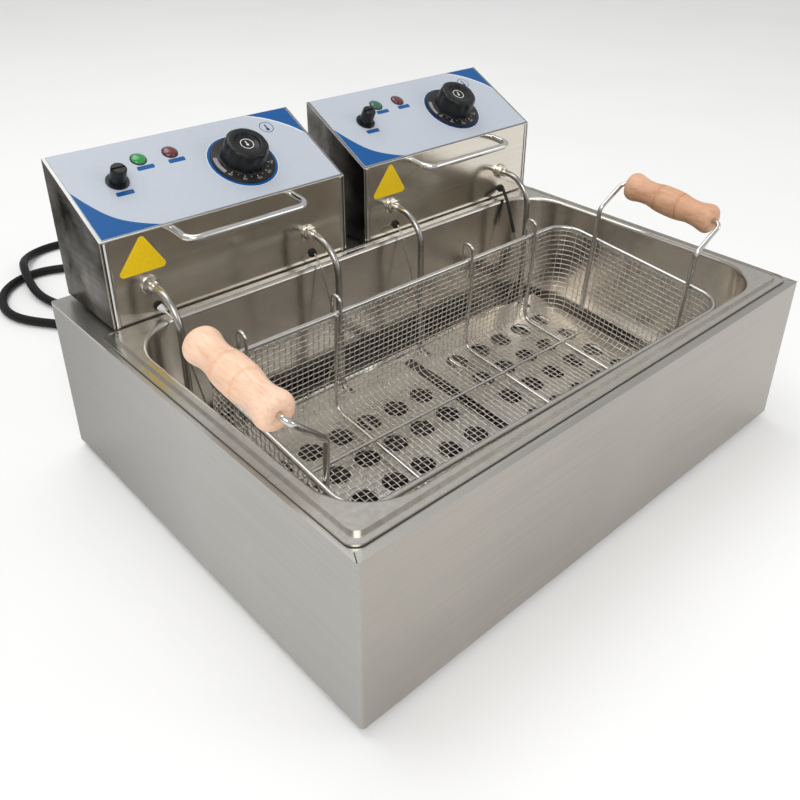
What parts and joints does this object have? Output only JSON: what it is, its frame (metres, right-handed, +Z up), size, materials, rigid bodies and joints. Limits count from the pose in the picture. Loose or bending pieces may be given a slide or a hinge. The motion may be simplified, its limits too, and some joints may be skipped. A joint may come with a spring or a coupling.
{
  "type": "deep fryer",
  "caption": "Countertop electric deep fryer with a wide drop-in tank, lift-off control heads with dials, and a wire basket with turned wooden grips.",
  "frame": {"origin": "centre of the case on the surface it stands on", "axes": "+Z up, +X along the case to the right, -Y towards the front, where the tank is; the control heads are at +Y"},
  "size_m": [0.56, 0.9184, 0.2986],
  "materials": {
    "case_steel": "fine brushed stainless sheet",
    "tank_steel": "drawn stainless pan, satin",
    "head_steel": "brushed stainless sheet",
    "overlay": "printed polyester overlay, pale grey with blue corners",
    "bar_steel": "polished stainless rod",
    "element": "heat-tinted stainless tube",
    "gland_metal": "machined stainless fittings",
    "guard_steel": "perforated stainless sheet",
    "sensor_metal": "thermostat body with bright capillary",
    "knob_plastic": "black moulded phenolic",
    "button_red": "red moulded plastic",
    "lens_green": "green lens",
    "lens_green_dark": "green lens, unlit",
    "lens_red": "dark red lens, unlit",
    "label_yellow": "blank yellow film",
    "ceramic": "steatite-like terminal block",
    "rubber_black": "black rubber",
    "wire_steel": "plated steel wire",
    "mesh_steel": "woven crimped wire mesh",
    "wood": "turned pale wood, lightly varnished",
    "floor_steel": "plain galvanised sheet"
  },
  "bodies": {
    "case": {"outer_case": "case_steel", "rear_deck": "case_steel", "base_plate": "floor_steel", "rubber_feet": "rubber_black", "case_screws": "bar_steel", "oil_tank": "tank_steel", "left_cord_tube": "rubber_black", "left_cord_coil": "rubber_black", "left_cord_plug": "rubber_black", "right_cord_tube": "rubber_black", "right_cord_coil": "rubber_black", "right_cord_plug": "rubber_black"},
    "basket": {"basket_frame": "wire_steel", "basket_mesh": "mesh_steel", "basket_hooks": "wire_steel", "left_bail": "wire_steel", "right_bail": "wire_steel"},
    "left_grip_body": {"left_grip": "wood"},
    "right_grip_body": {"right_grip": "wood"},
    "left_head": {"left_head_shell": "head_steel", "left_rear_cover": "head_steel", "left_floor_plate": "floor_steel", "left_panel_overlay": "overlay", "left_hanging_bar": "bar_steel", "left_heating_element": "element", "left_element_glands": "gland_metal", "left_element_guard": "guard_steel", "left_thermostat": "sensor_metal", "left_limiter": "sensor_metal", "left_green_lamp": "lens_green", "left_red_lamp": "lens_red", "left_sticker": "label_yellow", "left_capillary_bushes": "rubber_black", "left_terminal_block": "ceramic", "left_cord_gland": "rubber_black"},
    "left_dial_body": {"left_dial": "knob_plastic", "left_thermostat_shaft": "bar_steel"},
    "left_cap_body": {"left_reset_cap": "knob_plastic"},
    "left_button_body": {"left_reset_button": "button_red"},
    "right_head": {"right_head_shell": "head_steel", "right_rear_cover": "head_steel", "right_floor_plate": "floor_steel", "right_panel_overlay": "overlay", "right_hanging_bar": "bar_steel", "right_heating_element": "element", "right_element_glands": "gland_metal", "right_element_guard": "guard_steel", "right_thermostat": "sensor_metal", "right_limiter": "sensor_metal", "right_green_lamp": "lens_green_dark", "right_red_lamp": "lens_red", "right_sticker": "label_yellow", "right_capillary_bushes": "rubber_black", "right_terminal_block": "ceramic", "right_cord_gland": "rubber_black"},
    "right_dial_body": {"right_dial": "knob_plastic", "right_thermostat_shaft": "bar_steel"},
    "right_cap_body": {"right_reset_cap": "knob_plastic"},
    "right_button_body": {"right_reset_button": "button_red"}
  },
  "joints": [
    {"name": "left_head_lift", "type": "slide", "parent": "case", "child": "left_head", "axis": [0, 0, 1], "range_m": [0, 0.17]},
    {"name": "left_dial_turn", "type": "hinge", "parent": "left_head", "child": "left_dial_body", "pos_m": [-0.0988, 0.16143, 0.27757], "axis": [0, -0.4626, 0.8866], "range_deg": [-270, 0]},
    {"name": "left_cap_unscrew", "type": "hinge", "parent": "left_head", "child": "left_cap_body", "pos_m": [-0.2183, 0.17167, 0.28065], "axis": [0, -0.4626, 0.8866], "range_deg": [0, 720]},
    {"name": "left_reset_press", "type": "slide", "parent": "left_head", "child": "left_button_body", "axis": [0, 0.4626, -0.8866], "range_m": [0, 0.002], "stiffness_N_per_m": 400, "springref_m": -0.002},
    {"name": "right_head_lift", "type": "slide", "parent": "case", "child": "right_head", "axis": [0, 0, 1], "range_m": [0, 0.17]},
    {"name": "right_dial_turn", "type": "hinge", "parent": "right_head", "child": "right_dial_body", "pos_m": [0.1778, 0.16143, 0.27757], "axis": [0, -0.4626, 0.8866], "range_deg": [-270, 0]},
    {"name": "right_cap_unscrew", "type": "hinge", "parent": "right_head", "child": "right_cap_body", "pos_m": [0.0583, 0.17167, 0.28065], "axis": [0, -0.4626, 0.8866], "range_deg": [0, 720]},
    {"name": "right_reset_press", "type": "slide", "parent": "right_head", "child": "right_button_body", "axis": [0, 0.4626, -0.8866], "range_m": [0, 0.002], "stiffness_N_per_m": 400, "springref_m": -0.002},
    {"name": "basket_lift", "type": "slide", "parent": "left_head", "child": "basket", "axis": [0, 0, 1], "range_m": [0, 0.25]},
    {"name": "left_grip_spin", "type": "hinge", "parent": "basket", "child": "left_grip_body", "pos_m": [-0.26317, -0.07254, 0.21462], "axis": [0.0217, 0.9961, 0.0854], "continuous": true},
    {"name": "right_grip_spin", "type": "hinge", "parent": "basket", "child": "right_grip_body", "pos_m": [0.25278, -0.08348, 0.21105], "axis": [0.0217, 0.9961, 0.0854], "continuous": true}
  ],
  "couplings": [
    {"joint": "right_head_lift", "follows": "left_head_lift", "ratio": 1}
  ]
}
